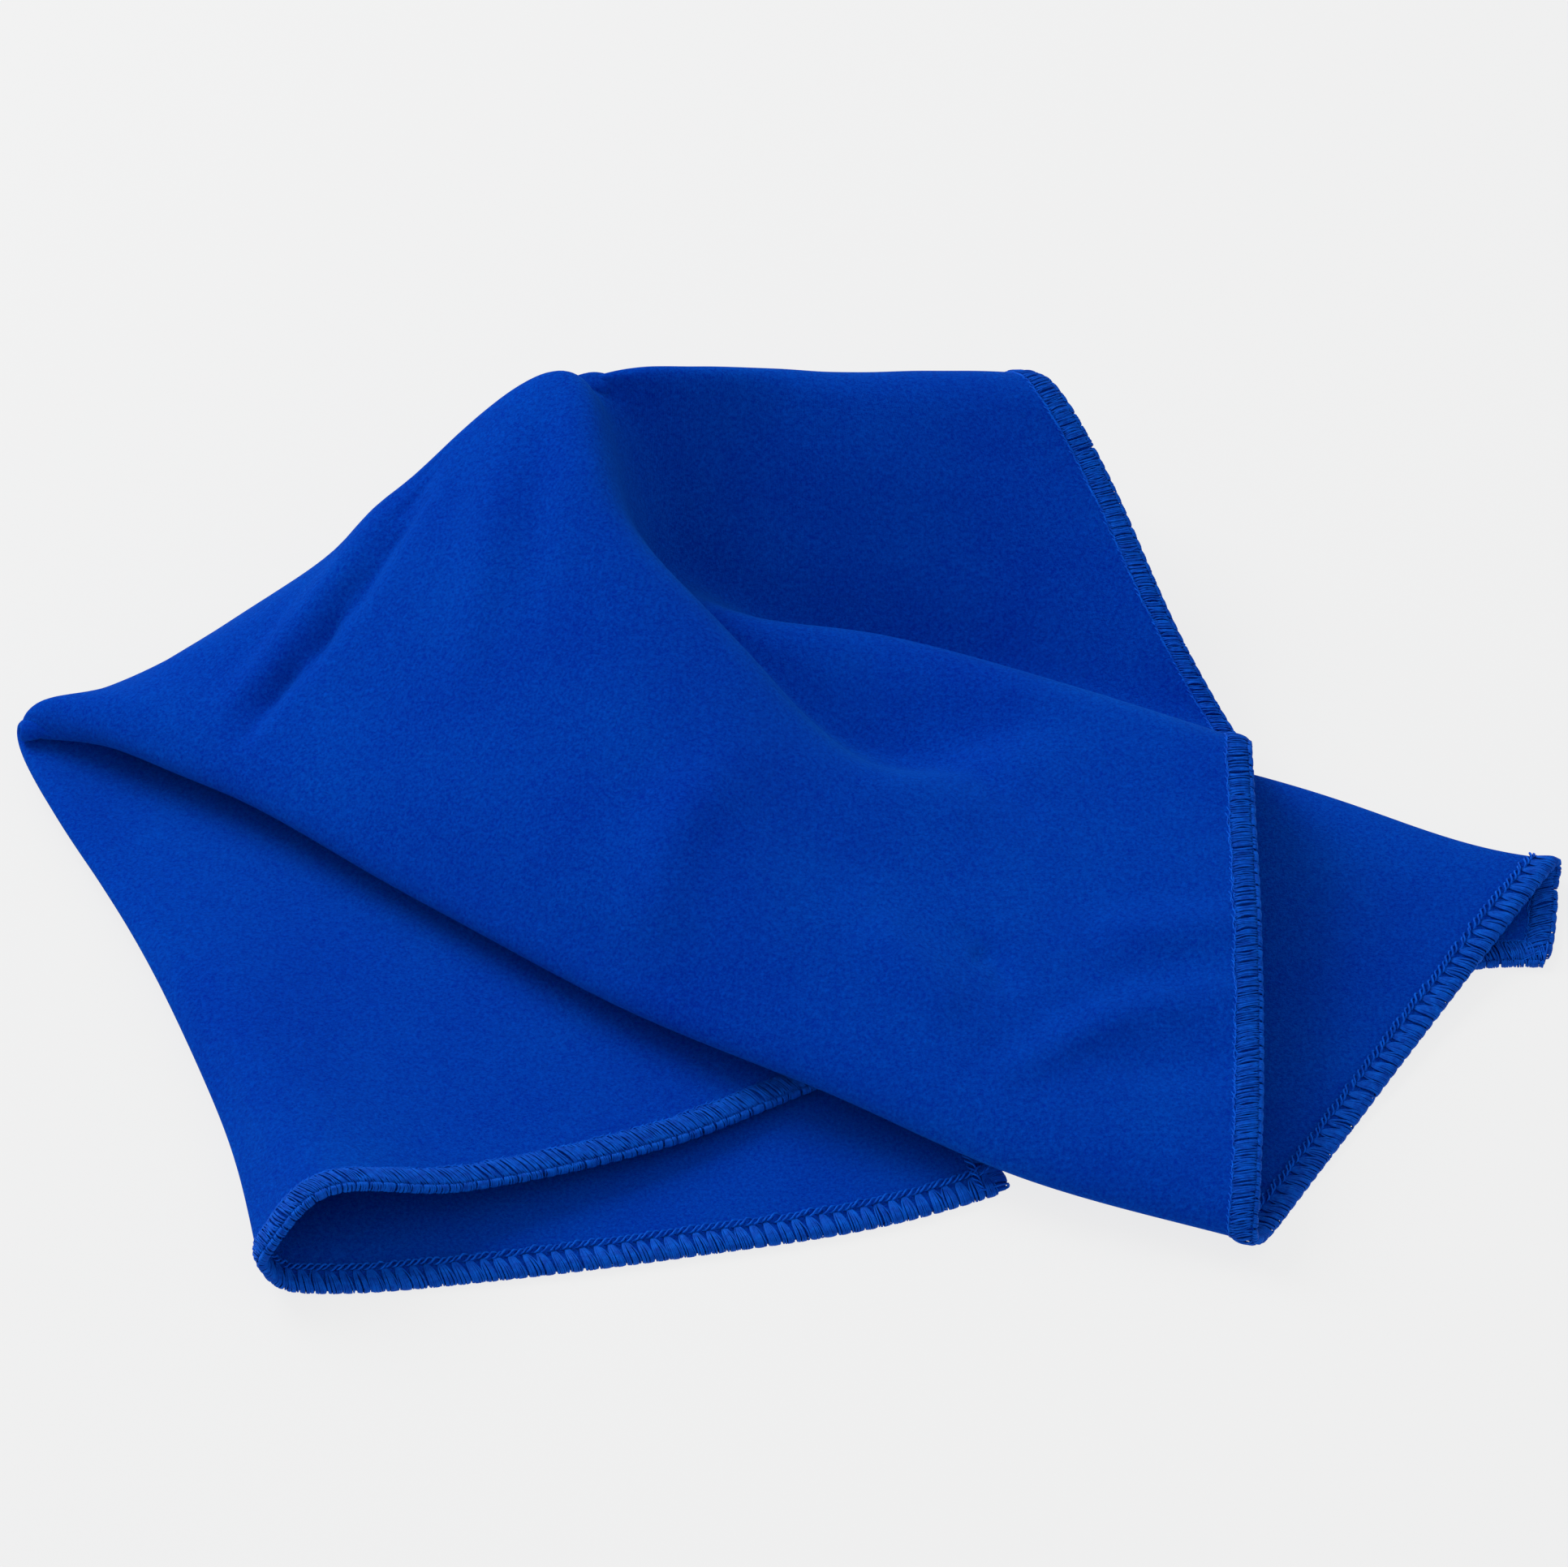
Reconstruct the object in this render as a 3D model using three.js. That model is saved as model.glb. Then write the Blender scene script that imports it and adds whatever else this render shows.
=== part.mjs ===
// A square quick-dry microfibre towel with overlocked edges, lying loosely folded on a flat surface.
// Millimetres, +Z up. The origin is the centre of the bottom of the bounding box.
import * as THREE from "three";
import { mergeVertices } from "three/addons/utils/BufferGeometryUtils.js";

// Driving dimensions.
const BUNDLE_WIDTH = 279; // along X, left tip to right tip
const BUNDLE_DEPTH = 205; // along Y, front hem to back hem
const BUNDLE_HEIGHT = 54; // top of the peak above the surface
const CLOTH_THICKNESS = 1.0;
const UNDER_LAYER_REACH = 4.5; // how far the under layer runs in from the left fold, in stations
const LAYER_SPACING = 2.5; // between the middles of the two layers
const BEAD_DIAMETER = 0.8; // looper threads round the cut edge
const NEEDLE_INSET = 4.0; // needle line to the cut edge
const NEEDLE_WIDTH = 0.5;
const NEEDLE_HEIGHT = 0.3;
const CLEARANCE = 0.3 * CLOTH_THICKNESS; // between two pieces
const STEPS = 3; // samples between two stations
const BEAD_SIDES = 6;

// The folded cloth as lines along it, from the left fold (first point) to the right-hand hem (last
// point), one point per station, as [x, y, z]. They follow each other from the front hem to the back hem.
const DESIGN = { width: 279, depth: 205, height: 54, thickness: 1 }; // what the lines are written for
const FRONT_HEM = [[-88, 12, 8], [-77, 21, 17], [-54, 28, 9], [-20, 40, 5], [14, 57, 3.2],
  [53, 66, 2.8], [93, 74, 1], [133, 80, 0.5]];
const LAP = [[-115, 74, 6], [-103, 77, 9], [-77, 75, 7], [-41, 83, 5.5], [-1, 94, 4.5], [42, 93, 3.2],
  [89, 96, 1.5], [135, 93, 0.5]];
const VALLEY = [[-139, 135, 4.5], [-118, 137, 5], [-81, 138, 6], [-38, 137, 6], [6, 136, 6],
  [51, 132, 5.5], [93, 122, 4.5], [137, 104, 4]];
const STRIP = [[-139, 134, 6], [-119, 131, 7.5], [-85, 120, 8.5], [-48, 110, 8.5], [-10, 100, 8.5],
  [29, 90, 7.5], [67, 77, 4.5], [108, 62, 1.5]];
const MOUNTAIN = [[-138, 133, 8], [-120, 124, 9.5], [-89, 102, 12], [-59, 84, 12], [-26, 63, 12],
  [7, 47, 11], [40, 32, 7], [79, 20, 5]];
const PANEL_LOW = [[-131, 141, 6], [-110, 132, 16], [-77, 120, 24], [-49, 100, 26], [-19, 78, 24],
  [10, 63, 19], [45, 53, 15], [81, 46, 13]];
const PANEL_HIGH = [[-124, 146, 6], [-99, 142, 22], [-62, 147, 41], [-39, 124, 39], [-14, 100, 32],
  [12, 84, 23], [48, 86, 20], [82, 78, 19]];
const RIDGE = [[-113, 154, 5], [-87, 151, 27], [-42, 174, 52.5], [-29, 145, 45.5], [-9, 125, 35],
  [14, 105, 26], [50, 108, 23], [82, 97, 22]];
const TUCK = [[-109, 157, 5], [-83, 154, 26.5], [-40, 176, 51.5], [-26, 148.5, 34], [-7, 132, 28],
  [15, 117, 23], [51, 117, 25], [82, 105, 24]];
const CREST = [[-106, 159, 5], [-79, 157, 26.5], [-38.5, 177, 50.5], [-24, 154, 26], [-8, 139, 28],
  [18, 136, 27], [52, 125, 25], [82, 113, 24]];
const TROUGH = [[-103, 161, 5], [-76, 161, 26], [-37.5, 178, 50.5], [-22, 160, 22], [-6, 151, 14],
  [23, 143, 8], [58, 133, 9.5], [86, 123, 9]];
const WALL = [[-101, 162, 5], [-74, 164, 26], [-36.5, 178, 50.5], [-20, 168, 29], [-2, 163, 24],
  [22, 160, 21], [49, 155, 18], [72, 146, 16]];
const WALL_HIGH = [[-99, 163, 5], [-72, 166, 26.5], [-35.5, 178, 51], [-18, 176, 41], [-2, 176, 38],
  [18, 175, 35], [38, 177, 32], [59, 177, 29]];
const BACK_TOP = [[-98, 165, 4.5], [-71, 168, 26], [-34, 178, 51.5], [-17, 181, 48], [-1, 184, 45.5],
  [15, 187, 42], [32, 190, 39], [51, 191, 36.5]];
const BACK_SLOPE = [[-96, 166, 4], [-68, 173, 16], [-33, 190, 29], [-16, 192, 28], [0, 195, 26],
  [16, 198, 24], [31, 201, 21], [46, 203, 19]];
const BACK_FOOT = [[-93, 168, 4], [-64, 177, 5], [-34, 199, 6], [-15, 202, 6], [1, 204, 5],
  [17, 206, 4], [33, 207, 2.5], [48, 208, 2]];
const BACK_HEM = [[-91, 173, 3], [-62, 183, 3], [-33, 206, 3], [-15, 209, 3], [1, 211, 3], [17, 213, 2],
  [33, 214, 0.8], [50, 215, 0.5]];
// The under layer lies flat in front, from the left fold to its own right-hand hem.
const UNDER_FRONT_HEM = [[-88, 12, 8], [-82, 11, 0.5], [-50, 15, 0.5], [-17, 20, 0.5], [19, 27, 0.5],
  [57, 41, 0.5]];
const UNDER_LAP = [[-115, 74, 6], [-107, 71, 0.5], [-79, 70, 0.5], [-43, 76, 0.5], [-3, 82, 0.5],
  [42, 86, 0.5]];

const sizing = new THREE.Vector3(
  BUNDLE_WIDTH / DESIGN.width,
  BUNDLE_DEPTH / DESIGN.depth,
  BUNDLE_HEIGHT / DESIGN.height,
);

// Heights near the surface follow the cloth's thickness, and only what is above them is scaled.
const REST_HEIGHT = 12;
const lift = (CLOTH_THICKNESS - DESIGN.thickness) / 2;
function toSize([x, y, z]) {
  const height = lift + (z <= REST_HEIGHT ? z : REST_HEIGHT + (z - REST_HEIGHT) * sizing.z);
  return new THREE.Vector3(x * sizing.x, y * sizing.y, height);
}
const lineOf = (points) => points.map(toSize);

// A line beside a fold: each point moved from the fold towards another line, then raised.
function beside(fold, towards, distance, rise) {
  return fold.map((point, i) => {
    const step = towards[i].clone().sub(point).setZ(0);
    const length = Math.min(distance, step.length() / 3);
    return point.clone().add(step.setLength(length)).setZ(point.z + rise);
  });
}

const VALLEY_ROLL = 1.3; // half the height of the roll at the valley fold
const MOUNTAIN_ROLL = 4.2; // half the height of the roll at the mountain fold
const ROLL_REACH = 5; // how far in from a fold its roll ends

const [frontHem, lap, valley, strip, mountain, panelLow] = [
  FRONT_HEM, LAP, VALLEY, STRIP, MOUNTAIN, PANEL_LOW].map(lineOf);
const upperLines = [PANEL_HIGH, RIDGE, TUCK, CREST, TROUGH, WALL, WALL_HIGH, BACK_TOP, BACK_SLOPE,
  BACK_FOOT, BACK_HEM].map(lineOf);
const topLines = [
  frontHem,
  lap,
  beside(valley, lap, ROLL_REACH, -VALLEY_ROLL),
  valley,
  beside(valley, strip, ROLL_REACH, VALLEY_ROLL),
  strip,
  beside(mountain, strip, ROLL_REACH, -MOUNTAIN_ROLL),
  mountain,
  beside(mountain, panelLow, ROLL_REACH, MOUNTAIN_ROLL),
  panelLow,
  ...upperLines,
];

// The cloth never goes below the surface that it lies on.
const aboveSurface = (point) => point.setZ(Math.max(point.z, 0));
const onSurface = (point) => point.setZ(Math.max(point.z, CLOTH_THICKNESS / 2));

// A smooth grid through the lines: columns[i][j] is column i across the lines.
function gridThrough(lines, lastStation) {
  const along = lines.map((line) => new THREE.CatmullRomCurve3(line, false, "centripetal"));
  const count = Math.round(lastStation * STEPS);
  const lastIndex = lines[0].length - 1;
  const columns = [];
  for (let i = 0; i <= count; i++) {
    const knots = along.map((curve) => curve.getPoint(i / STEPS / lastIndex));
    const across = new THREE.CatmullRomCurve3(knots, false, "centripetal");
    const rows = (knots.length - 1) * 2;
    columns.push(Array.from({ length: rows + 1 }, (_, j) => onSurface(across.getPoint(j / rows))));
  }
  return columns;
}

// Unit normals of a grid, on the side of the towel's right face.
function normalsOf(columns) {
  const last = columns.length - 1;
  return columns.map((column, i) =>
    column.map((_, j) => {
      const end = column.length - 1;
      const acrossFold = columns[Math.min(i + 1, last)][j].clone().sub(columns[Math.max(i - 1, 0)][j]);
      const alongFold = column[Math.min(j + 1, end)].clone().sub(column[Math.max(j - 1, 0)]);
      return acrossFold.cross(alongFold).normalize();
    }),
  );
}

const topSheet = gridThrough(topLines, FRONT_HEM.length - 1);
const topNormals = normalsOf(topSheet);

// The under layer: flat on the surface in front, then a lining behind the top layer.
const underFront = gridThrough([lineOf(UNDER_FRONT_HEM), lineOf(UNDER_LAP)], UNDER_LAYER_REACH);
const underSheet = underFront.map((flat, i) => {
  const lined = topSheet[i].map((point, j) =>
    onSurface(point.clone().addScaledVector(topNormals[i][j], -LAYER_SPACING)));
  const rise = flat.length + 1; // the first sample that lines the top layer
  const between = flat[flat.length - 1].clone().lerp(lined[rise], 0.5);
  return [...flat, between, ...lined.slice(rise)];
});

// The whole cloth, from the under layer's hem round the left fold to the right-hand hem.
const foldColumn = topSheet[0].map((point, j) => {
  const middle = point.clone().add(underSheet[0][j]).multiplyScalar(0.5);
  const outward = point.clone().sub(topSheet[1][j]).setZ(0).normalize();
  return middle.addScaledVector(outward, LAYER_SPACING / 2);
});
const cloth = [...underSheet.slice(1).reverse(), foldColumn, ...topSheet.slice(1)];

// A closed sheet of even thickness about a grid.
function thickSheet(columns, thickness) {
  const normals = normalsOf(columns);
  const nu = columns.length;
  const nv = columns[0].length;
  const positions = [];
  for (const side of [0.5, -0.5])
    for (let i = 0; i < nu; i++)
      for (let j = 0; j < nv; j++)
        positions.push(...columns[i][j].clone().addScaledVector(normals[i][j], side * thickness));
  const at = (side, i, j) => side * nu * nv + i * nv + j;
  const faces = [];
  const quad = (a, b, c, d) => faces.push(a, b, c, a, c, d);
  for (let i = 0; i + 1 < nu; i++)
    for (let j = 0; j + 1 < nv; j++) {
      quad(at(0, i, j), at(0, i + 1, j), at(0, i + 1, j + 1), at(0, i, j + 1));
      quad(at(1, i, j + 1), at(1, i + 1, j + 1), at(1, i + 1, j), at(1, i, j));
    }
  for (let i = 0; i + 1 < nu; i++) {
    quad(at(1, i, 0), at(1, i + 1, 0), at(0, i + 1, 0), at(0, i, 0));
    quad(at(0, i, nv - 1), at(0, i + 1, nv - 1), at(1, i + 1, nv - 1), at(1, i, nv - 1));
  }
  for (let j = 0; j + 1 < nv; j++) {
    quad(at(0, 0, j), at(0, 0, j + 1), at(1, 0, j + 1), at(1, 0, j));
    quad(at(1, nu - 1, j), at(1, nu - 1, j + 1), at(0, nu - 1, j + 1), at(0, nu - 1, j));
  }
  return closedGeometry(positions, faces);
}

// A closed bar along a line of points. Each section is a ring of corners given in the frame
// (outward from the cut edge, wrong side of the cloth) at that point.
function barAlong(places, corners) {
  const positions = [];
  for (const { point, outward, normal } of places)
    for (const [out, down] of corners)
      positions.push(...aboveSurface(
        point.clone().addScaledVector(outward, out).addScaledVector(normal, -down)));
  const n = corners.length;
  const faces = [];
  for (let i = 0; i + 1 < places.length; i++)
    for (let k = 0; k < n; k++) {
      const [a, b] = [i * n + k, i * n + ((k + 1) % n)];
      faces.push(a, b, b + n, a, b + n, a + n);
    }
  for (let k = 1; k + 1 < n; k++) {
    const last = (places.length - 1) * n;
    faces.push(0, k + 1, k, last, last + k, last + k + 1);
  }
  return closedGeometry(positions, faces);
}

// Faces are turned round when the volume comes out negative, so that they all point outwards.
function closedGeometry(positions, faces) {
  const corner = (k) => new THREE.Vector3().fromArray(positions, faces[k] * 3);
  let volume = 0;
  for (let k = 0; k < faces.length; k += 3) volume += corner(k).dot(corner(k + 1).cross(corner(k + 2)));
  const geometry = new THREE.BufferGeometry();
  geometry.setAttribute("position", new THREE.Float32BufferAttribute(positions, 3));
  geometry.setIndex(volume < 0 ? faces.reverse() : faces);
  const merged = mergeVertices(geometry, 1e-4);
  merged.computeVertexNormals();
  return merged;
}

const fabric = () => new THREE.MeshStandardMaterial({ color: 0x0038b0, roughness: 0.92, metalness: 0 });
const thread = () => new THREE.MeshStandardMaterial({ color: 0x0a4c9c, roughness: 0.6, metalness: 0 });

const towel = new THREE.Group();
function add(name, geometry, material) {
  const mesh = new THREE.Mesh(geometry, material);
  mesh.name = name;
  towel.add(mesh);
}

add("towel_cloth", thickSheet(cloth, CLOTH_THICKNESS), fabric());

// The four hems. Each sample of a hem is a path from the cut edge inwards, with the normals along it.
const clothNormals = normalsOf(cloth);
const HEM_SAMPLES = 4; // how many samples in from the edge a path runs
const lastColumn = cloth.length - 1;
const lastRow = cloth[0].length - 1;
const steps = Array.from({ length: HEM_SAMPLES }, (_, k) => k);
const sampleOf = (pick) => ({
  path: steps.map((k) => pick(cloth, k)),
  normals: steps.map((k) => pick(clothNormals, k)),
});
const hems = {
  front: cloth.map((_, i) => sampleOf((grid, k) => grid[i][k])),
  back: cloth.map((_, i) => sampleOf((grid, k) => grid[i][lastRow - k])),
  under: cloth[0].map((_, j) => sampleOf((grid, k) => grid[k][j])),
  right: cloth[0].map((_, j) => sampleOf((grid, k) => grid[lastColumn - k][j])),
};

// The place at a distance in from the cut edge, measured along the cloth.
function inset({ path, normals }, distance) {
  let left = distance;
  let k = 0;
  while (k + 2 < path.length && left > path[k].distanceTo(path[k + 1])) {
    left -= path[k].distanceTo(path[k + 1]);
    k += 1;
  }
  const share = left / path[k].distanceTo(path[k + 1]);
  return {
    point: path[k].clone().lerp(path[k + 1], share),
    normal: normals[k].clone().lerp(normals[k + 1], share).normalize(),
    outward: path[k].clone().sub(path[k + 1]).normalize(),
  };
}

const beadRing = Array.from({ length: BEAD_SIDES }, (_, k) => {
  const angle = ((k + 0.5) * 2 * Math.PI) / BEAD_SIDES;
  const radius = BEAD_DIAMETER / 2;
  return [CLEARANCE + radius + radius * Math.cos(angle), radius * Math.sin(angle)];
});
const needleTop = CLOTH_THICKNESS / 2 + CLEARANCE;
const needleRing = [
  [NEEDLE_WIDTH / 2, needleTop],
  [-NEEDLE_WIDTH / 2, needleTop],
  [-NEEDLE_WIDTH / 2, needleTop + NEEDLE_HEIGHT],
  [NEEDLE_WIDTH / 2, needleTop + NEEDLE_HEIGHT],
];
const CORNER_STOP = 2; // samples left free at each end, where two hems meet

for (const [name, hem] of Object.entries(hems)) {
  const run = hem.slice(CORNER_STOP, hem.length - CORNER_STOP);
  const edge = run.map((sample) => inset(sample, 0));
  const needleLine = run.map((sample) => inset(sample, NEEDLE_INSET));
  add(`${name}_hem_looper_threads`, barAlong(edge, beadRing), thread());
  add(`${name}_hem_needle_thread`, barAlong(needleLine, needleRing), thread());
}

// The frame's origin is set under the middle of the whole towel.
const box = new THREE.Box3().setFromObject(towel, true);
const middle = box.getCenter(new THREE.Vector3());
towel.children.forEach((mesh) => mesh.position.set(-middle.x, -middle.y, -box.min.z));

export default towel;
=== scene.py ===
"""Looks of a quick-dry towel: a square suede-finish microfibre cloth with overlocked edges,
loosely folded."""

import math

import bpy
import numpy as np
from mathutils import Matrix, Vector


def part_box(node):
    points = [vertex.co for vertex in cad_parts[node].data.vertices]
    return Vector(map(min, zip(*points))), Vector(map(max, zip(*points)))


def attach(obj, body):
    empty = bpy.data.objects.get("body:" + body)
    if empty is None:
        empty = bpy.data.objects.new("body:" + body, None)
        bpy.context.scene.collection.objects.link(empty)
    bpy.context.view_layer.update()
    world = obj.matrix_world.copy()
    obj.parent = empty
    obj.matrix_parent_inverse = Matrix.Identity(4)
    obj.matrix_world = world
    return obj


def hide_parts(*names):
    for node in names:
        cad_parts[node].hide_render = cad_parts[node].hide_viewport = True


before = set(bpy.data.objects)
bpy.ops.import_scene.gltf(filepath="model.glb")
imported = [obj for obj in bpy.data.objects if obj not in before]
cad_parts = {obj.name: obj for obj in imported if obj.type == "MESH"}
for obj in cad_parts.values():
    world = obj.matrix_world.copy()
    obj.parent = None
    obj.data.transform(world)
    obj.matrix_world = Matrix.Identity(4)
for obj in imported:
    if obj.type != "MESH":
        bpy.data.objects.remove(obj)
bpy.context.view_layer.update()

CLOTH_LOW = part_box("towel_cloth")[0]

MM = 0.001
FLAT_SIDE = 0.38  # the towel is cut square
CLOTH_THICKNESS = 1.0 * MM
LAYER_SPACING = 2.5 * MM  # between the middles of the two layers
UNDER_LAYER_REACH = 4.5  # how far the under layer runs in from the left fold, in stations
MESH_SPACING = 3.2 * MM  # of the simulated sheet
PER_STATION = 12  # columns of the simulated sheet between two stations
REFINE = 3  # the finished sheet has this many samples to one of the simulated one

# ---------------------------------------------------------------------------
# The folded cloth as lines along it, from the left fold to the right-hand hem, in millimetres.
# They follow each other from the front hem to the back hem. Some places at the left fold, the peak and the
# ridge are a few millimetres off the CAD cloth's, because settling draws them in.
FRONT_HEM = [(-88, 12, 8), (-77, 21, 17), (-54, 28, 9), (-20, 40, 5), (14, 57, 3.2), (53, 66, 2.8),
             (93, 74, 1), (135, 80, 0.5)]
LAP = [(-115, 74, 6), (-103, 77, 9), (-77, 75, 7), (-41, 83, 5.5), (-1, 94, 4.5), (42, 93, 3.2),
       (89, 96, 1.5), (137, 93, 0.5)]
VALLEY = [(-145, 133, 4), (-119, 137, 5), (-81, 138, 6), (-38, 137, 6), (6, 136, 6), (51, 132, 5.5),
          (93, 122, 4.5), (139, 104, 4)]
STRIP = [(-145, 132, 5), (-119, 131, 7.5), (-85, 120, 8.5), (-48, 110, 8.5), (-10, 100, 8.5),
         (29, 90, 7.5), (67, 77, 4.5), (108, 62, 1.5)]
MOUNTAIN = [(-144.5, 133.5, 6.5), (-120, 120, 9), (-89, 102, 12), (-59, 84, 12), (-26, 63, 12),
            (7, 47, 11), (40, 32, 7), (79, 20, 5)]
PANEL_LOW = [(-135, 138, 5.5), (-110, 132, 16), (-77, 120, 24), (-49, 100, 26), (-19, 78, 24),
             (10, 63, 19), (45, 53, 15), (81, 46, 13)]
PANEL_HIGH = [(-124, 144, 5.5), (-99, 142, 22), (-62, 147, 41), (-39, 124, 39), (-14, 100, 32),
              (12, 84, 23), (48, 86, 20), (82, 78, 19)]
RIDGE = [(-113, 154, 5), (-87, 151, 27), (-41, 174, 57.5), (-29, 145, 47), (-9, 125, 36),
         (14, 105, 26), (50, 108, 23), (82, 97, 22)]
TUCK = [(-109, 157, 5), (-83, 154, 26.5), (-39.5, 176, 54), (-26, 148.5, 31), (-6, 130, 25),
        (17, 114, 19), (51, 117, 24), (82, 105, 24)]
CREST = [(-106, 159, 5), (-79, 157, 26.5), (-38, 177, 53), (-24, 154, 23), (-8, 139, 28),
         (18, 136, 27), (52, 125, 25), (82, 113, 24)]
TROUGH = [(-103, 161, 5), (-76, 161, 26), (-37.5, 178, 52.5), (-22, 160, 22), (-6, 151, 14),
          (23, 143, 8), (58, 133, 9.5), (83, 124, 9)]
WALL = [(-101, 162, 5), (-74, 164, 26), (-36.5, 178, 52.5), (-20, 168, 29), (-2, 163, 24),
        (22, 160, 21), (49, 155, 18), (72, 146, 16)]
WALL_HIGH = [(-99, 163, 5), (-72, 166, 26.5), (-35.5, 178, 53.5), (-18, 176, 41), (-2, 176, 38),
             (18, 175, 35), (38, 177, 32), (59, 177, 29)]
BACK_TOP = [(-98, 165, 4.5), (-71, 168, 26), (-35, 178, 54.5), (-17, 181, 50.3), (-1, 184, 45.5),
            (15, 187, 42), (32, 190, 39), (51, 191, 36.5)]
BACK_SLOPE = [(-96, 166, 4), (-68, 173, 16), (-33, 190, 29), (-16, 192, 28), (0, 195, 26),
              (16, 198, 24), (31, 201, 21), (46, 203, 19)]
BACK_FOOT = [(-93, 168, 4), (-64, 177, 5), (-34, 199, 6), (-15, 202, 6), (1, 204, 5),
             (17, 206, 4), (33, 207, 2.5), (48, 208, 2)]
BACK_HEM = [(-91, 173, 3), (-62, 183, 3), (-33, 206, 3), (-15, 209, 3), (1, 211, 3),
            (17, 213, 2), (33, 214, 0.8), (50, 215, 0.5)]
# The under layer lies flat in front, from the left fold to its own right-hand hem.
UNDER_FRONT_HEM = [(-88, 12, 8), (-82, 11, 0.5), (-50, 15, 0.5), (-17, 20, 0.5), (19, 27, 0.5),
                   (57, 41, 0.5)]
UNDER_LAP = [(-115, 74, 6), (-107, 71, 0.5), (-79, 70, 0.5), (-43, 76, 0.5), (-3, 82, 0.5),
             (42, 86, 0.5)]
VALLEY_ROLL = 1.3 * MM  # half the height of the roll at each fold
MOUNTAIN_ROLL = 4.2 * MM
ROLL_REACH = 5 * MM  # how far in from a fold its roll ends
CLOTH_START = (-140.8, 11.0, 0)  # the low corner of the folded cloth's box, in the lines' own frame


def length(vectors):
    return np.linalg.norm(vectors, axis=-1, keepdims=True)


def unit(vectors):
    return vectors / np.maximum(length(vectors), 1e-9)


def curve(points, places):
    """The centripetal Catmull-Rom curve through points (along the first axis), at the given places,
    which are counted in points."""
    ends = [2 * points[0] - points[1]], [2 * points[-1] - points[-2]]
    full = np.concatenate([ends[0], points, ends[1]])
    index = np.clip(places.astype(int), 0, len(points) - 2)
    w = (places - index).reshape(-1, *[1] * (points.ndim - 1))
    p0, p1, p2, p3 = (full[index + k] for k in range(4))
    d0, d1, d2 = (np.maximum(np.sqrt(length(b - a)), 1e-4) for a, b in ((p0, p1), (p1, p2), (p2, p3)))
    start = ((p1 - p0) / d0 - (p2 - p0) / (d0 + d1) + (p2 - p1) / d1) * d1
    end = ((p2 - p1) / d1 - (p3 - p1) / (d1 + d2) + (p3 - p2) / d2) * d1
    return (
        p1 + start * w + (3 * (p2 - p1) - 2 * start - end) * w**2
        + (2 * (p1 - p2) + start + end) * w**3
    )


def in_metres(line):
    return np.array(line, float) * MM


def beside(fold, towards, rise):
    """A line beside a fold: each point moved from the fold towards another line, then raised."""
    step = (towards - fold) * (1, 1, 0)
    gap = length(step)
    moved = fold + step / np.maximum(gap, 1e-9) * np.minimum(ROLL_REACH, gap / 3)
    return moved + (0, 0, rise)


def normals_of(grid):
    """Unit normals on the side of the towel's right face."""
    return unit(np.cross(np.gradient(grid, axis=0), np.gradient(grid, axis=1)))


def above_floor(grid):
    grid = grid.copy()
    grid[..., 2] = np.maximum(grid[..., 2], CLOTH_THICKNESS / 2)
    return grid


LINES_BEFORE_PANEL = 8  # counted from the front hem, with the lines beside the folds
LINES_BEFORE_CREST = 13


def folded_guide():
    """The folded cloth as a grid of places, [along the folds][from the front hem to the back hem], with
    the number of its columns in the under layer and the first and last rows of the upper panel."""
    front, lap, valley, strip, mountain, panel = map(
        in_metres, (FRONT_HEM, LAP, VALLEY, STRIP, MOUNTAIN, PANEL_LOW)
    )
    upper = (PANEL_HIGH, RIDGE, TUCK, CREST, TROUGH, WALL, WALL_HIGH, BACK_TOP, BACK_SLOPE, BACK_FOOT)
    lines = [
        front, lap, beside(valley, lap, -VALLEY_ROLL), valley, beside(valley, strip, VALLEY_ROLL), strip,
        beside(mountain, strip, -MOUNTAIN_ROLL), mountain, beside(mountain, panel, MOUNTAIN_ROLL), panel,
        *map(in_metres, (*upper, BACK_HEM)),
    ]
    last = len(FRONT_HEM) - 1
    stations = np.linspace(0, last, last * PER_STATION + 1)
    knots = np.stack([curve(line, stations) for line in lines])
    gaps = length(np.diff(knots, axis=0)).mean(axis=(1, 2))
    rows_in = np.maximum(2, np.rint(gaps / MESH_SPACING)).astype(int)
    places = np.concatenate([*(j + np.arange(n) / n for j, n in enumerate(rows_in)), [len(lines) - 1]])
    top = above_floor(curve(knots, places).transpose(1, 0, 2))
    # The under layer lies on the floor up to the lap, and lines the top layer behind it.
    reach = round(UNDER_LAYER_REACH * PER_STATION) + 1
    lined = above_floor(top - LAYER_SPACING * normals_of(top))[:reach]
    flat_front, flat_lap = (curve(in_metres(line), stations[:reach]) for line in (UNDER_FRONT_HEM, UNDER_LAP))
    flat_rows, rise_rows = rows_in[:2]
    share = (np.arange(flat_rows) / flat_rows)[None, :, None]
    flat = flat_front[:, None] * (1 - share) + flat_lap[:, None] * share
    share = (np.arange(rise_rows) / rise_rows)[None, :, None]
    meet = lined[:, flat_rows + rise_rows][:, None]
    rising = flat_lap[:, None] * (1 - share) + meet * share
    under = above_floor(np.concatenate([flat, rising, lined[:, flat_rows + rise_rows:]], axis=1))
    outward = unit((top[0] - top[1]) * (1, 1, 0))
    fold = (top[0] + under[0]) / 2 + outward * LAYER_SPACING / 2
    panel_rows = sum(rows_in[:LINES_BEFORE_PANEL]), sum(rows_in[:LINES_BEFORE_CREST])
    return np.concatenate([under[:0:-1], fold[None], top[1:]]), reach - 1, panel_rows


def level_shift():
    """The level move from the lines' own frame to the row's frame."""
    return (np.array(CLOTH_LOW) - np.array(CLOTH_START) * MM) * (1, 1, 0)


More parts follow.
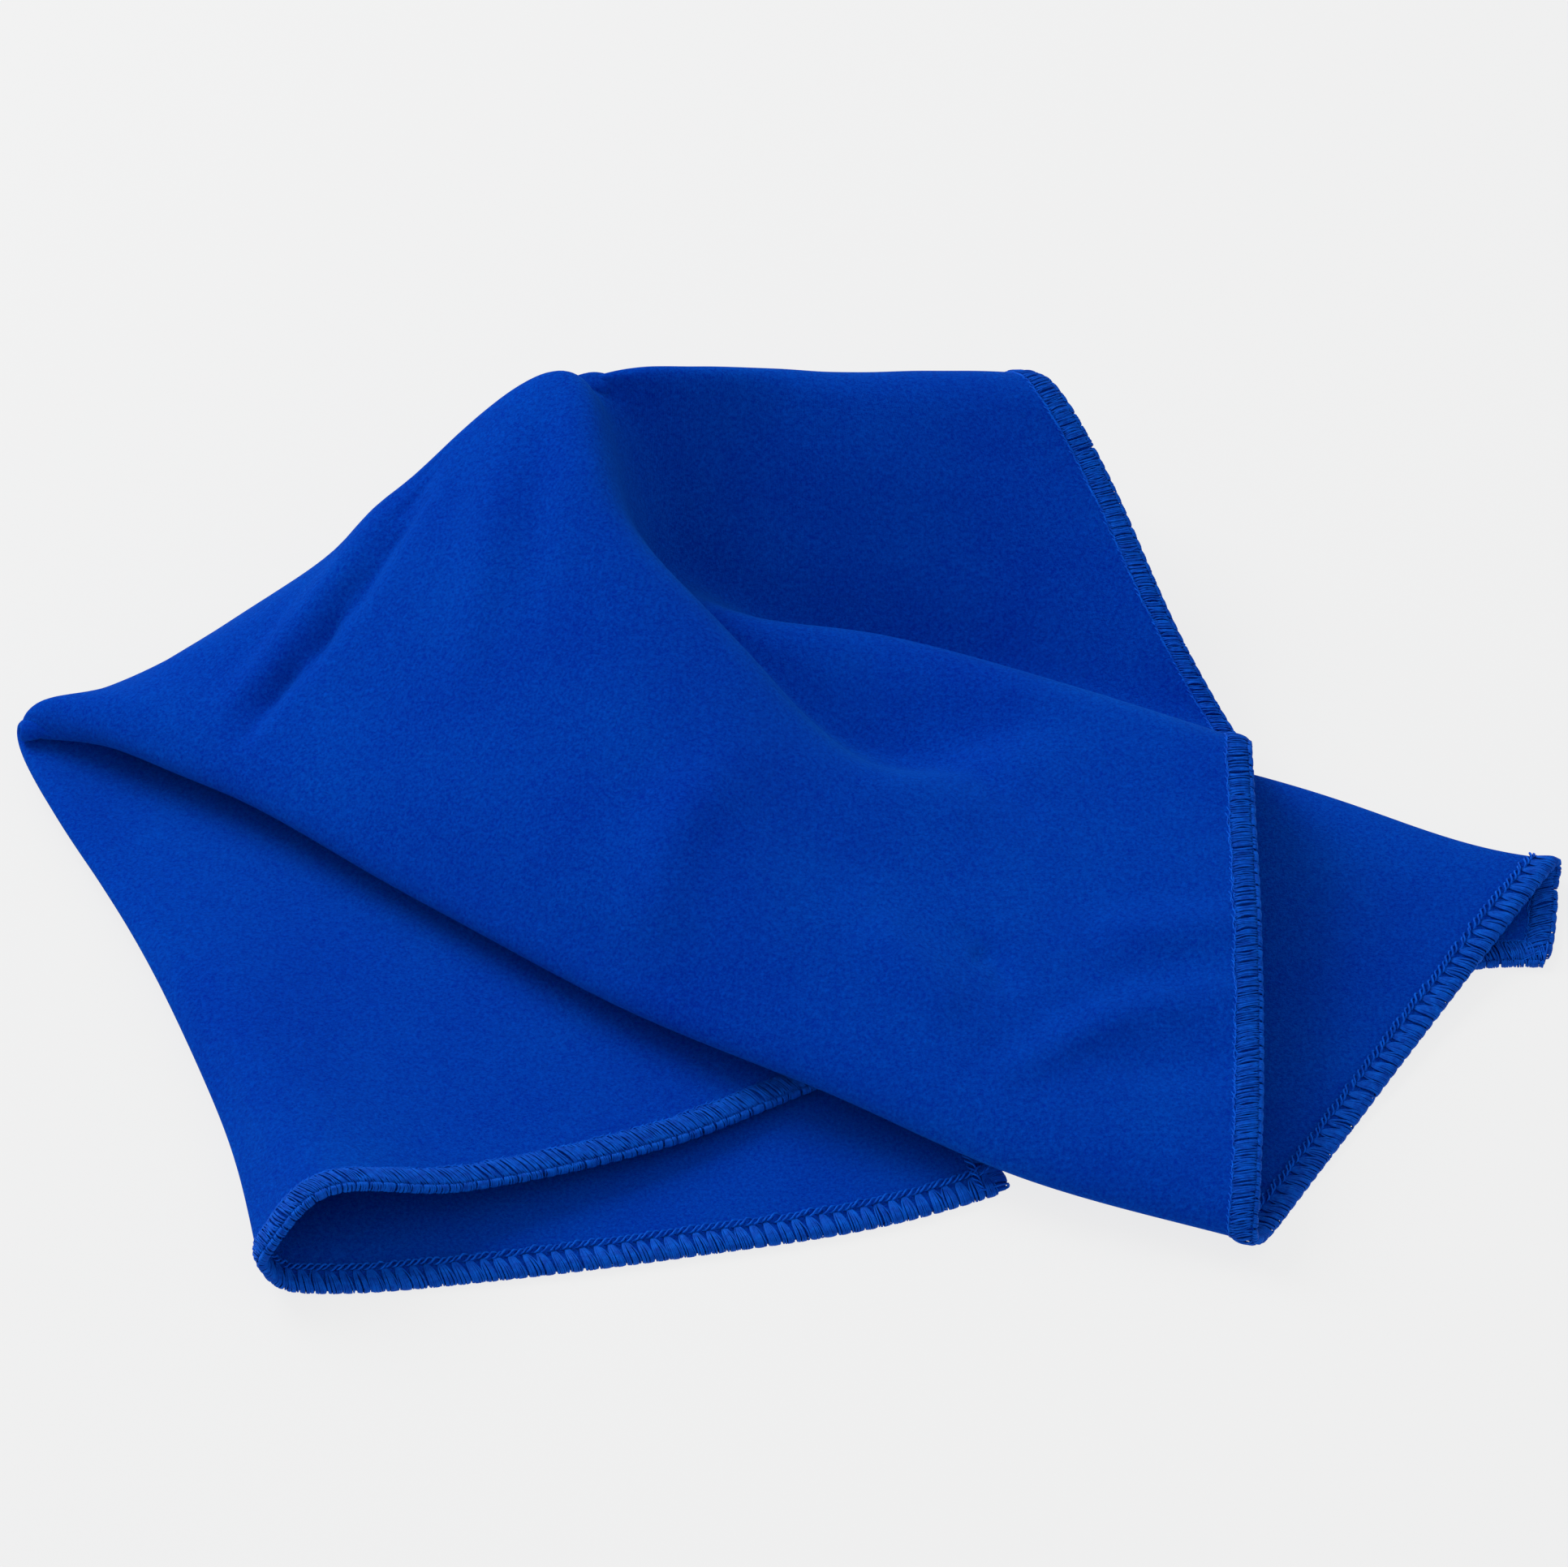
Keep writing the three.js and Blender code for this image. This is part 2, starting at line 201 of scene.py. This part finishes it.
def grid_faces(nu, nv, start=0):
    """Quads of a grid whose vertices are numbered from start, facing the towel's right face."""
    at = start + np.arange(nu * nv).reshape(nu, nv)
    return np.stack([at[:-1, :-1], at[1:, :-1], at[1:, 1:], at[:-1, 1:]], axis=-1).reshape(-1, 4)


def new_object(name, vertices, faces):
    mesh = bpy.data.meshes.new(name)
    mesh.from_pydata(vertices.tolist(), [], faces.tolist() if isinstance(faces, np.ndarray) else faces)
    obj = bpy.data.objects.new(name, mesh)
    bpy.context.scene.collection.objects.link(obj)
    return obj


# ---------------------------------------------------------------------------
# The cloth settles on the floor in a short simulation, held near the guide by soft pins.
SIM_SCALE = 10  # the simulation runs ten times full size, where its collision distances are fine enough
SIM_FRAMES = 14
HOLD = 0.35
EDGE_HOLD = 0.7


def settled(grid):
    nu, nv = grid.shape[:2]
    cloth = new_object("cloth guide", grid.reshape(-1, 3) * SIM_SCALE, grid_faces(nu, nv))
    floor = new_object(
        "simulation floor", np.array([(-4, -4, 0), (4, -4, 0), (4, 4, 0), (-4, 4, 0)]), [(0, 1, 2, 3)]
    )
    floor.modifiers.new("collision", "COLLISION")
    floor.collision.thickness_outer = 0.004
    at = np.arange(nu * nv).reshape(nu, nv)
    rim = np.unique(np.concatenate([at[0], at[-1], at[:, 0], at[:, -1]])).tolist()
    hold = cloth.vertex_groups.new(name="hold")
    hold.add(at.ravel().tolist(), HOLD, "REPLACE")
    hold.add(rim, EDGE_HOLD, "REPLACE")
    modifier = cloth.modifiers.new("cloth", "CLOTH")
    settings = modifier.settings
    settings.quality = 6
    settings.mass = 0.1
    settings.vertex_group_mass = "hold"
    settings.pin_stiffness = 1.0
    settings.tension_stiffness = settings.compression_stiffness = 12
    settings.shear_stiffness = 6
    settings.bending_stiffness = 1.5
    settings.air_damping = 5
    contact = modifier.collision_settings
    contact.distance_min = 0.004
    contact.use_self_collision = True
    contact.self_distance_min = CLOTH_THICKNESS * SIM_SCALE
    contact.collision_quality = 3
    modifier.point_cache.frame_end = SIM_FRAMES
    scene = bpy.context.scene
    for f in range(1, SIM_FRAMES + 1):
        scene.frame_set(f)
    made = cloth.evaluated_get(bpy.context.evaluated_depsgraph_get()).data
    points = np.empty(nu * nv * 3, np.float32)
    made.vertices.foreach_get("co", points)
    for obj in (cloth, floor):
        bpy.data.objects.remove(obj)
    scene.frame_set(1)
    return above_floor(points.reshape(nu, nv, 3).astype(float) / SIM_SCALE)


def softened(grid, rounds, share=1.0):
    """Each place moved towards the middle of its neighbours, by share of the way in each round."""
    for _ in range(rounds):
        along = grid.copy()
        along[1:-1] = (grid[:-2] + 2 * grid[1:-1] + grid[2:]) / 4
        across = along.copy()
        across[:, 1:-1] = (along[:, :-2] + 2 * along[:, 1:-1] + along[:, 2:]) / 4
        grid = grid + share * (across - grid)
    return grid


def crowding(grid):
    """From 0 to 1: how much closer together the places are than the simulated sheet's spacing."""
    across = length(np.gradient(grid, axis=1))[..., 0]
    along = length(np.gradient(grid, axis=0))[..., 0]
    tight = np.clip((0.7 * MESH_SPACING - np.minimum(across, along)) / (0.5 * MESH_SPACING), 0, 1)
    return softened(tight[..., None], 4)


def near_left_fold(grid, under_columns):
    """1 at the left fold, falling to 0 a station and a half away."""
    columns = np.arange(len(grid)) - under_columns
    return np.clip(1 - np.abs(columns) / (1.5 * PER_STATION), 0, 1)[:, None, None]


# Soft folds in the upper panel: (level places, half width, height off the cloth), in millimetres in the
# lines' own frame. A negative height is a groove.
CREASES = [
    ([(-63, 161), (-71, 148), (-82, 135), (-92, 126), (-98, 118), (-104, 110)], 2.0, -2.3),
    ([(-70, 161), (-78, 149), (-89, 137), (-99, 126)], 2.8, 1.6),
    ([(-51, 160), (-53, 142), (-55, 122)], 4.0, 1.1),
    ([(-43, 166), (-44, 132)], 3.0, -0.8),
    ([(-33, 152), (-22, 138), (-9, 125), (3, 114), (14, 105), (30, 98)], 3.5, 1.0),
    ([(-4, 129), (8, 119), (19, 113), (32, 108), (42, 100)], 4.0, -1.6),
    ([(-9, 101), (-19, 89), (-22, 70)], 6.0, 1.8),
    ([(14, 76), (31, 57)], 5.0, 2.0),
    ([(32, 74), (40, 65)], 2.3, -1.8),
    ([(52, 74), (80, 77)], 4.0, 1.7),
    ([(38, 48), (60, 60), (80, 63)], 3.0, 1.7),
    ([(54, 50), (78, 50)], 3.6, -1.2),
]


def creased(grid, under_columns, rows):
    """The grid with the creases, on its top layer between two rows."""
    first, last = rows
    panel = grid[under_columns:, first:last]
    normals = normals_of(panel)
    places = (panel - level_shift())[..., :2] / MM
    fade = np.minimum(1, np.minimum(np.arange(last - first), np.arange(last - first)[::-1]) / 4)[None, :]
    lift = np.zeros(panel.shape[:2])
    for points, width, height in CREASES:
        places_on = curve(np.array(points, float), np.linspace(0, len(points) - 1, 40))
        off = np.linalg.norm(places[:, :, None] - places_on, axis=-1)
        share = off.argmin(axis=-1) / (len(places_on) - 1)
        taper = np.sin(np.pi * np.clip(share, 0.03, 0.97)) ** 0.45
        lift += height * MM * taper * np.exp(-((off.min(axis=-1) / width) ** 2))
    grid = grid.copy()
    grid[under_columns:, first:last] += normals * (lift * fade)[..., None]
    return grid


def refined(grid, n):
    """The grid with n samples to one, on a smooth surface through it."""
    for _ in range(2):
        places = np.linspace(0, len(grid) - 1, (len(grid) - 1) * n + 1)
        grid = curve(grid, places).transpose(1, 0, 2)
    return grid


def build_cloth(grid):
    """One closed sheet of even thickness about the grid. Its UV map is its places on the flat cloth."""
    nu, nv = grid.shape[:2]
    half = normals_of(grid) * CLOTH_THICKNESS / 2
    vertices = np.concatenate([(grid + half).reshape(-1, 3), (grid - half).reshape(-1, 3)])
    vertices[:, 2] = np.maximum(vertices[:, 2], 0)
    count = nu * nv
    at = np.arange(count).reshape(nu, nv)
    rim = np.concatenate([at[:, 0], at[-1, 1:], at[-2::-1, -1], at[0, -2:0:-1]])
    after = np.roll(rim, -1)
    sides = np.stack([rim, rim + count, after + count, after], axis=-1)
    faces = np.concatenate([grid_faces(nu, nv), grid_faces(nu, nv, count)[:, ::-1], sides])
    obj = new_object("suede_cloth", vertices, faces)
    mesh = obj.data
    flat = np.stack(np.meshgrid(np.linspace(0, 1, nu), np.linspace(0, 1, nv), indexing="ij"), axis=-1)
    flat = np.tile(flat.reshape(-1, 2), (2, 1)) * FLAT_SIDE
    corners = np.empty(len(mesh.loops), np.int32)
    mesh.loops.foreach_get("vertex_index", corners)
    mesh.uv_layers.new(name="flat cloth").data.foreach_set("uv", flat[corners].ravel())
    mesh.shade_smooth()
    return obj


# ---------------------------------------------------------------------------
# Overlocked hems. A place on a hem is (s along it, t in from the cut edge, h off the cloth's middle),
# with h positive on the towel's right face.
STITCH = 2.4 * MM
NEEDLE_INSET = 4.0 * MM
HEM_REACH = 7.0 * MM
STRIP_STEP = 0.35 * MM
FACE = CLOTH_THICKNESS / 2
STRANDS = 11  # filaments that each looper thread spreads into
STRAND_RADIUS = 0.15 * MM
SLANT = 0.65  # stitches that the upper looper moves along between the needle line and the edge
RANDOM = np.random.default_rng(5)


class Hem:
    """A hem as an even strip of places and normals, by distance along it and in from the edge."""

    def __init__(self, lines, normals):
        steps = length(np.diff(lines, axis=0))[..., 0]
        depth = np.concatenate([np.zeros((1, lines.shape[1])), np.cumsum(steps, 0)])
        inward = np.arange(0, HEM_REACH, STRIP_STEP)

        def even_in(values, i):
            return np.stack([np.interp(inward, depth[:, i], values[:, i, k]) for k in range(3)], -1)

        places = np.stack([even_in(lines, i) for i in range(lines.shape[1])])
        facing = np.stack([even_in(normals, i) for i in range(lines.shape[1])])
        run = np.concatenate([[0], np.cumsum(length(np.diff(places[:, 0], axis=0))[:, 0])])
        self.length = run[-1]
        index = np.interp(np.arange(0, self.length, STRIP_STEP), run, np.arange(len(run)))
        low = np.minimum(index.astype(int), len(run) - 2)
        share = (index - low)[:, None, None]
        self.places = places[low] * (1 - share) + places[low + 1] * share
        self.normals = unit(facing[low] * (1 - share) + facing[low + 1] * share)
        self.outward = unit(self.places[:, 0] - self.places[:, 3])
        self.along = unit(np.gradient(self.places[:, 0], axis=0))

    def sample(self, grid, s, t):
        a = np.clip(s / STRIP_STEP, 0, grid.shape[0] - 1.001)
        b = np.clip(t / STRIP_STEP, 0, grid.shape[1] - 1.001)
        i, j = a.astype(int), b.astype(int)
        a, b = (a - i)[..., None], (b - j)[..., None]
        near = grid[i, j] * (1 - b) + grid[i, j + 1] * b
        far = grid[i + 1, j] * (1 - b) + grid[i + 1, j + 1] * b
        return near * (1 - a) + far * a

    def at(self, s, t, h):
        i = np.clip(np.rint(s / STRIP_STEP).astype(int), 0, len(self.places) - 1)
        beyond = self.outward[i] * np.maximum(-t, 0)[..., None]
        return self.sample(self.places, s, t) + beyond + self.sample(self.normals, s, t) * h[..., None]

    def direction(self, s):
        return self.along[np.clip(np.rint(s / STRIP_STEP).astype(int), 0, len(self.along) - 1)]


def tubes(paths, reference, radius, sides=5):
    """Closed round threads along paths [thread][point], as (vertices, faces). The paths cross reference."""
    tangent = unit(np.gradient(paths, axis=1))
    side = unit(np.cross(tangent, reference))
    up = np.cross(side, tangent)
    angle = np.arange(sides) * 2 * np.pi / sides
    taper = np.ones(paths.shape[1])
    taper[[0, -1]] = 0.45
    ring = side[:, :, None] * np.cos(angle)[:, None] + up[:, :, None] * np.sin(angle)[:, None]
    vertices = paths[:, :, None] + ring * (radius * taper)[:, None, None]
    n, m = paths.shape[:2]
    at = np.arange(n * m * sides).reshape(n, m, sides)
    after = np.roll(at, -1, axis=2)
    walls = np.stack([at[:, :-1], after[:, :-1], after[:, 1:], at[:, 1:]], -1).reshape(-1, 4)
    caps = np.concatenate([at[:, 0, ::-1], at[:, -1]])
    return vertices.reshape(-1, 3), walls.tolist() + caps.tolist()


def joined(parts):
    """Several (vertices, faces) as one."""
    vertices, faces, start = [], [], 0
    for points, quads in parts:
        vertices.append(points)
        faces += [[start + k for k in quad] for quad in quads]
        start += len(points)
    return np.concatenate(vertices), faces


def stitch_grid(hem):
    """Stitch and strand numbers as columns, with the stitch length that fits the hem."""
    count = round(hem.length / STITCH)
    k, g = np.meshgrid(np.arange(count), np.arange(STRANDS), indexing="ij")
    return k.reshape(-1, 1).astype(float), g.reshape(-1, 1).astype(float), hem.length / count


def wobble(shape, amount):
    return RANDOM.normal(0, amount, shape)


def upper_looper(hem):
    """On the right face: filaments slant from the needle line to the edge, and draw together there."""
    k, g, pitch = stitch_grid(hem)
    x = np.linspace(0, 1, 8)[None]
    spread = (g - (STRANDS - 1) / 2) / STRANDS
    s = (k + 0.5 + spread * (1 - 0.1 * x**3) + SLANT * x + wobble(k.shape, 0.04)) * pitch
    t = (NEEDLE_INSET + 0.1 * MM) * (1 - x) + 0.15 * MM * x + wobble(k.shape, 0.08 * MM)
    swell = 0.34 * np.sin(np.pi * np.clip(x, 0.05, 1)) ** 0.7 + 0.04 * np.cos(np.pi * spread) * x
    h = FACE + (0.10 + swell + wobble(k.shape, 0.08)) * MM
    s += wobble(k.shape, 0.10) * np.sin(np.pi * x) * pitch
    s = np.minimum(s, hem.length - 0.2 * MM)
    return tubes(hem.at(s, t, h), hem.direction(s), STRAND_RADIUS)


def lower_looper(hem):
    """On the wrong face: rounded bundles that cross the hem squarely, and wrap the cut edge as scallops."""
    k, g, pitch = stitch_grid(hem)
    stage = np.linspace(0, 1, 6)
    x = np.linspace(0, 1, 13)[None]
    spread = (g - (STRANDS - 1) / 2) / STRANDS
    crown = np.sqrt(1 - (1.7 * spread) ** 2)
    width = np.interp(x, stage, (0.22, 0.7, 0.88, 0.94, 0.88, 0.8))
    inset = np.interp(x, stage, (3.9, 2.4, 0.9, -0.15, -0.1, 0.25)) * MM
    lift = np.interp(x, stage, (-0.60, -0.74, -0.92, -0.58, 0.5, 0.6)) * MM
    bulge = np.interp(x, stage, (0.05, 0.3, 0.36, 0.0, 0.0, 0.1)) * MM
    push = np.interp(x, stage, (0, 0, 0.1, 0.5, 0.5, 0.0)) * MM
    stray = wobble(k.shape, 0.07) * np.sin(np.pi * x)
    s = (k + 0.5 + SLANT % 1 + spread * width + stray + wobble(k.shape, 0.02)) * pitch
    t = inset - push * crown
    h = lift + np.sign(lift) * bulge * (crown - 0.4) * (0.9 + wobble(k.shape, 0.06))
    s = np.clip(s, 0.2 * MM, hem.length - 0.2 * MM)
    return tubes(hem.at(s, t, h), hem.direction(s), STRAND_RADIUS * 1.08)


# Each needle stitch is two twisted plies on each face: (face, which ply, radius, rise) in millimetres.
PLIES = (1, -1, 0.14, 0.06), (1, 1, 0.14, 0.02), (-1, -1, 0.2, 0.8), (-1, 1, 0.18, 0.6)


def needle_thread(hem):
    """One stitch after another on each face, each slanted a little, so that they lie like a twisted rope."""
    count = round(hem.length / STITCH)
    pitch = hem.length / count
    k = np.arange(count)[:, None].astype(float)
    x = np.linspace(0, 1, 7)[None]
    arch = np.sin(np.pi * x)
    parts = []
    for face, ply, radius, rise in PLIES:
        s = (k + 0.5 + 0.25 * (ply + 1) + 1.2 * (x - 0.5)) * pitch
        s = np.clip(s, 0.1 * MM, hem.length - 0.1 * MM)
        sway = 0.2 + 0.9 * (x - 0.5) * face + 0.3 * np.sin(2 * np.pi * x)
        t = NEEDLE_INSET + sway * MM + wobble(k.shape, 0.16 * MM)
        h = face * (FACE + (0.02 + rise * arch) * MM)
        paths = hem.at(s, t, h)
        parts.append(tubes(paths, hem.sample(hem.normals, s, t), radius * MM, sides=6))
    return joined(parts)


def hems_of(grid):
    """The four hems by name. Each runs the way that it was sewn, with the cut edge on the same hand."""
    normals = normals_of(grid)
    reach = math.ceil(HEM_REACH / (MESH_SPACING / REFINE) * 2.5)

    def edge(view):
        return Hem(view(grid)[:reach], view(normals)[:reach])

    return {
        "front": edge(lambda values: values.transpose(1, 0, 2)),
        "right": edge(lambda values: values[::-1]),
        "back": edge(lambda values: values[::-1, ::-1].transpose(1, 0, 2)),
        "under": edge(lambda values: values[:, ::-1]),
    }


# ---------------------------------------------------------------------------
# Materials.
def nodes_of(name):
    material = bpy.data.materials.new(name)
    material.use_nodes = True
    tree = material.node_tree
    return material, tree, tree.nodes["Principled BSDF"]


def noise(tree, vector, scale, detail=3.0, roughness=0.6):
    node = tree.nodes.new("ShaderNodeTexNoise")
    node.inputs["Scale"].default_value = scale
    node.inputs["Detail"].default_value = detail
    node.inputs["Roughness"].default_value = roughness
    tree.links.new(vector, node.inputs["Vector"])
    return node.outputs["Fac"]


def ramp(tree, value, low, high, a, b):
    """value mapped from low..high to a..b, held at both ends."""
    node = tree.nodes.new("ShaderNodeMapRange")
    for key, number in (("From Min", low), ("From Max", high), ("To Min", a), ("To Max", b)):
        node.inputs[key].default_value = number
    tree.links.new(value, node.inputs["Value"])
    return node.outputs["Result"]


def mixed(tree, share, a, b):
    node = tree.nodes.new("ShaderNodeMix")
    node.data_type = "RGBA"
    for key, colour in (("A", a), ("B", b)):
        socket = next(s for s in node.inputs if s.name == key and s.type == "RGBA")
        if isinstance(colour, tuple):
            socket.default_value = (*colour, 1)
        else:
            tree.links.new(colour, socket)
    tree.links.new(share, node.inputs["Factor"])
    return next(s for s in node.outputs if s.type == "RGBA")


def bumped(tree, height, distance, strength, normal=None):
    node = tree.nodes.new("ShaderNodeBump")
    node.inputs["Distance"].default_value = distance
    node.inputs["Strength"].default_value = strength
    tree.links.new(height, node.inputs["Height"])
    if normal:
        tree.links.new(normal, node.inputs["Normal"])
    return node.outputs["Normal"]


def suede():
    """Royal blue brushed microfibre: a short nap that lies this way and that, over a fine knit."""
    material, tree, bsdf = nodes_of("blue suede microfibre")
    where = tree.nodes.new("ShaderNodeTexCoord")
    spot = where.outputs["Object"]
    brushed = ramp(tree, noise(tree, spot, 34, 4, 0.55), 0.3, 0.7, 0, 1)
    mottle = ramp(tree, noise(tree, spot, 1600, 5, 0.8), 0.39, 0.63, 0, 1)
    nap = noise(tree, spot, 2600, 3, 0.8)
    deep = mixed(tree, mottle, (0.0, 0.020, 0.36), (0.0, 0.055, 0.53))
    bright = mixed(tree, mottle, (0.0, 0.030, 0.40), (0.0, 0.078, 0.575))
    tree.links.new(mixed(tree, brushed, deep, bright), bsdf.inputs["Base Color"])
    knit = tree.nodes.new("ShaderNodeTexWave")
    knit.inputs["Scale"].default_value = 420
    knit.inputs["Distortion"].default_value = 1.2
    tree.links.new(where.outputs["UV"], knit.inputs["Vector"])
    normal = bumped(tree, knit.outputs["Fac"], 0.00006, 0.35)
    normal = bumped(tree, mottle, 0.0002, 0.6, normal)
    normal = bumped(tree, nap, 0.00025, 1.0, normal)
    tree.links.new(normal, bsdf.inputs["Normal"])
    bsdf.inputs["Roughness"].default_value = 0.95
    bsdf.inputs["Specular IOR Level"].default_value = 0.02
    bsdf.inputs["Sheen Weight"].default_value = 0.3
    bsdf.inputs["Sheen Roughness"].default_value = 0.35
    bsdf.inputs["Sheen Tint"].default_value = (0.02, 0.38, 0.95, 1)
    return material


def thread_finish(name, lift):
    """Textured polyester thread, a little greener than the cloth and lighter by the factor lift."""
    material, tree, bsdf = nodes_of(name)
    where = tree.nodes.new("ShaderNodeTexCoord")
    spot = where.outputs["Object"]
    shade = ramp(tree, noise(tree, spot, 900, 3, 0.6), 0.3, 0.7, 0, 1)
    colour = mixed(tree, shade, (0.0, 0.034 * lift, 0.30 * lift), (0.0, 0.082 * lift, 0.50 * lift))
    tree.links.new(colour, bsdf.inputs["Base Color"])
    tree.links.new(bumped(tree, noise(tree, spot, 5200, 2, 0.7), 0.00008, 0.6), bsdf.inputs["Normal"])
    bsdf.inputs["Roughness"].default_value = 0.6
    bsdf.inputs["Specular IOR Level"].default_value = 0.06
    bsdf.inputs["Sheen Weight"].default_value = 0.1
    bsdf.inputs["Sheen Tint"].default_value = (0.0, 0.4, 1.0, 1)
    return material


# ---------------------------------------------------------------------------
# The towel.
CROWDED_ROUNDS = 2  # of softening, where the lines crowd together
LEFT_FOLD_ROUNDS = 8
SETTLING_ROUNDS = 12  # so that only the broad sag of the simulation is kept

guide, under_columns, panel_rows = folded_guide()
guide = guide + level_shift()
guide = softened(guide, CROWDED_ROUNDS, crowding(guide))
guide = softened(guide, LEFT_FOLD_ROUNDS, crowding(guide) * near_left_fold(guide, under_columns))
settling = settled(guide) - guide
sheet = softened(guide + softened(settling, SETTLING_ROUNDS), 1, 0.6)
surface = above_floor(refined(creased(sheet, under_columns, panel_rows), REFINE))

fabric = suede()
finishes = {
    "looper_threads": thread_finish("looper thread", 1.2),
    "needle_thread": thread_finish("needle thread", 1.4),
}
cloth = build_cloth(surface)
cloth.data.materials.append(fabric)
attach(cloth, "root")
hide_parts("towel_cloth")

for hem_name, hem in hems_of(surface).items():
    runs = {
        "looper_threads": joined([upper_looper(hem), lower_looper(hem)]),
        "needle_thread": needle_thread(hem),
    }
    for run_name, (points, faces) in runs.items():
        points[:, 2] = np.maximum(points[:, 2], 0)
        piece = new_object(f"{hem_name}_{run_name}", points, faces)
        piece.data.shade_smooth()
        piece.data.materials.append(finishes[run_name])
        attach(piece, "root")
        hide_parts(f"{hem_name}_hem_{run_name}")

# ---------------------------------------------------------------------------
# Floor, light and camera.
floor = new_object("floor", np.array([(-3.0, -3, 0), (3, -3, 0), (3, 3, 0), (-3, 3, 0)]), [(0, 1, 2, 3)])
paper, _, paper_bsdf = nodes_of("pale paper")
paper_bsdf.inputs["Base Color"].default_value = (0.07, 0.07, 0.07, 1)
paper_bsdf.inputs["Emission Color"].default_value = (1, 1, 1, 1)
paper_bsdf.inputs["Emission Strength"].default_value = 0.795
paper_bsdf.inputs["Roughness"].default_value = 1.0
paper_bsdf.inputs["Specular IOR Level"].default_value = 0.0
floor.data.materials.append(paper)

scene = bpy.context.scene
world = bpy.data.worlds.new("studio")
world.use_nodes = True
world.node_tree.nodes["Background"].inputs["Color"].default_value = (0.96, 0.98, 1.0, 1)
world.node_tree.nodes["Background"].inputs["Strength"].default_value = 0.66
scene.world = world
scene.view_settings.view_transform = "Standard"


def softbox(name, place, target, size, power):
    lamp = bpy.data.lights.new(name, "AREA")
    lamp.shape = "SQUARE"
    lamp.size = size
    lamp.energy = power
    obj = bpy.data.objects.new(name, lamp)
    scene.collection.objects.link(obj)
    obj.location = place
    obj.rotation_euler = (Vector(target) - Vector(place)).to_track_quat("-Z", "Y").to_euler()


softbox("softbox behind left", (-0.74, 0.68, 0.78), (0, 0, 0), 0.7, 12.5)

CAMERA_TARGET = Vector((0.00144, 0.01129, 0.0))
CAMERA_DISTANCE = 0.947
CAMERA_ELEVATION = math.radians(50)
lens = bpy.data.cameras.new("camera")
lens.lens, lens.sensor_width = 120, 36
camera = bpy.data.objects.new("camera", lens)
scene.collection.objects.link(camera)
offset = Vector((0, -math.cos(CAMERA_ELEVATION), math.sin(CAMERA_ELEVATION))) * CAMERA_DISTANCE
camera.location = CAMERA_TARGET + offset
camera.rotation_euler = (-offset).to_track_quat("-Z", "Y").to_euler()
lens.clip_start, lens.clip_end = 0.01, 20
scene.camera = camera
